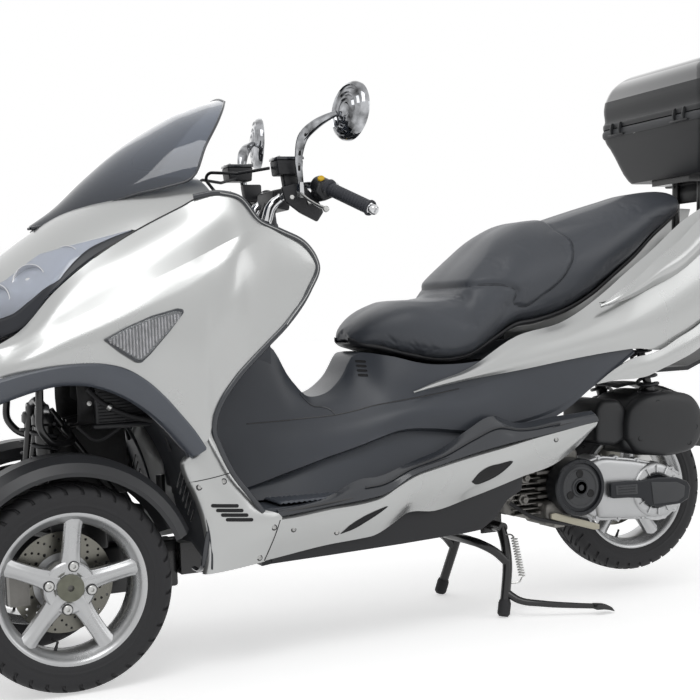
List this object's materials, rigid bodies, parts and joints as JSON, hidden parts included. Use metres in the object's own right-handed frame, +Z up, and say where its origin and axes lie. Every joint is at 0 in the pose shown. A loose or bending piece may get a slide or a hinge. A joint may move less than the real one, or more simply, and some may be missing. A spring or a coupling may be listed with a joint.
{
  "type": "reverse trike scooter",
  "caption": "Three-wheeled scooter with paired steered front wheels, tall screen, stepped saddle, top case and centre stand.",
  "frame": {"origin": "on the floor, half way along the length and on the centre line", "axes": "+X to the tail, +Y to the vehicle's right, +Z up"},
  "size_m": [2.5745, 0.8088, 1.536],
  "materials": {
    "silver_paint": "metallic silver lacquer",
    "black_frame_paint": "satin black",
    "dark_trim": "grained dark grey",
    "black_plastic": "fine grain",
    "fender_black": "satin",
    "clear_lens": "clear gloss",
    "smoked_screen": "smoked gloss",
    "red_lens": "gloss",
    "engine_alloy": "cast satin",
    "satin_black_alloy": "satin",
    "chrome": "polished",
    "exhaust_steel": "brushed",
    "wheel_silver": "satin silver",
    "tyre_rubber": "matt",
    "seat_vinyl": "grained vinyl",
    "case_black": "gloss"
  },
  "bodies": {
    "root": {"frame": "black_frame_paint", "seat_rails": "black_frame_paint", "front_carrier": "black_frame_paint", "suspension_arms": "black_frame_paint", "front_shocks": "chrome", "nose_fairing": "silver_paint", "front_valance": "black_plastic", "headlamps": "clear_lens", "front_indicators": "clear_lens", "windscreen": "smoked_screen", "side_fairings": "silver_paint", "arch_trims": "dark_trim", "wheel_wells": "dark_trim", "lower_shields": "silver_paint", "leg_shield": "dark_trim", "instrument_cowl": "black_plastic", "tunnel": "dark_trim", "footboards": "dark_trim", "side_skirts": "silver_paint", "passenger_steps": "dark_trim", "belly_pan": "black_plastic", "side_panels": "dark_trim", "rear_body": "silver_paint", "grab_rails": "silver_paint", "tail_lamp": "red_lens", "rear_mudguard": "black_plastic", "storage_bin": "black_plastic", "engine_block": "engine_alloy", "cvt_case": "engine_alloy", "fan_cover": "satin_black_alloy", "air_box": "black_plastic", "exhaust": "exhaust_steel", "rear_shocks": "chrome", "case_rack": "black_frame_paint", "top_case_base": "case_black"},
    "handlebar": {"handlebar": "chrome", "hand_controls": "black_plastic", "control_cables": "black_plastic", "mirrors": "chrome"},
    "steering_shaft": {"steering_shaft": "black_frame_paint"},
    "tie_rod": {"tie_rod": "black_frame_paint"},
    "knuckle_left": {"knuckle_left": "engine_alloy", "front_fender_left": "fender_black"},
    "knuckle_right": {"knuckle_right": "engine_alloy", "front_fender_right": "fender_black"},
    "front_wheel_left": {"front_rim_left": "wheel_silver", "front_tyre_left": "tyre_rubber"},
    "front_wheel_right": {"front_rim_right": "wheel_silver", "front_tyre_right": "tyre_rubber"},
    "rear_wheel": {"rear_rim": "wheel_silver", "rear_tyre": "tyre_rubber"},
    "centre_stand": {"centre_stand": "black_frame_paint"},
    "seat": {"seat": "seat_vinyl"},
    "case_lid": {"top_case_lid": "case_black"}
  },
  "joints": [
    {"name": "steering", "type": "hinge", "parent": "root", "child": "handlebar", "pos_m": [-0.345, 0, 1.13], "axis": [0.4695, 0, 0.8829], "range_deg": [-30, 30]},
    {"name": "shaft_turn", "type": "hinge", "parent": "root", "child": "steering_shaft", "pos_m": [-0.696, 0, 0.4], "axis": [0, 0, 1], "range_deg": [-30, 30]},
    {"name": "rod_swing", "type": "hinge", "parent": "steering_shaft", "child": "tie_rod", "pos_m": [-0.621, 0, 0.32], "axis": [0, 0, 1], "range_deg": [-30, 30]},
    {"name": "kingpin_left", "type": "hinge", "parent": "root", "child": "knuckle_left", "pos_m": [-1, -0.15, 0.243], "axis": [0, 0, 1], "range_deg": [-30, 30]},
    {"name": "kingpin_right", "type": "hinge", "parent": "root", "child": "knuckle_right", "pos_m": [-1, 0.15, 0.243], "axis": [0, 0, 1], "range_deg": [-30, 30]},
    {"name": "wheel_spin_left", "type": "hinge", "parent": "knuckle_left", "child": "front_wheel_left", "pos_m": [-1, -0.247, 0.243], "axis": [0, 1, 0], "continuous": true},
    {"name": "wheel_spin_right", "type": "hinge", "parent": "knuckle_right", "child": "front_wheel_right", "pos_m": [-1, 0.247, 0.243], "axis": [0, 1, 0], "continuous": true},
    {"name": "wheel_spin_rear", "type": "hinge", "parent": "root", "child": "rear_wheel", "pos_m": [0.72, 0, 0.288], "axis": [0, 1, 0], "continuous": true},
    {"name": "stand_swing", "type": "hinge", "parent": "root", "child": "centre_stand", "pos_m": [0.235, 0, 0.232], "axis": [0, -1, 0], "range_deg": [0, 70]},
    {"name": "seat_hinge", "type": "hinge", "parent": "root", "child": "seat", "pos_m": [-0.152, 0, 0.738], "axis": [0, -1, 0], "range_deg": [0, 55]},
    {"name": "lid_hinge", "type": "hinge", "parent": "root", "child": "case_lid", "pos_m": [0.861, 0, 1.372], "axis": [0, -1, 0], "range_deg": [0, 75]}
  ],
  "couplings": [
    {"joint": "shaft_turn", "follows": "steering", "ratio": 1},
    {"joint": "rod_swing", "follows": "steering", "ratio": -1},
    {"joint": "kingpin_left", "follows": "steering", "ratio": 1},
    {"joint": "kingpin_right", "follows": "steering", "ratio": 1}
  ]
}
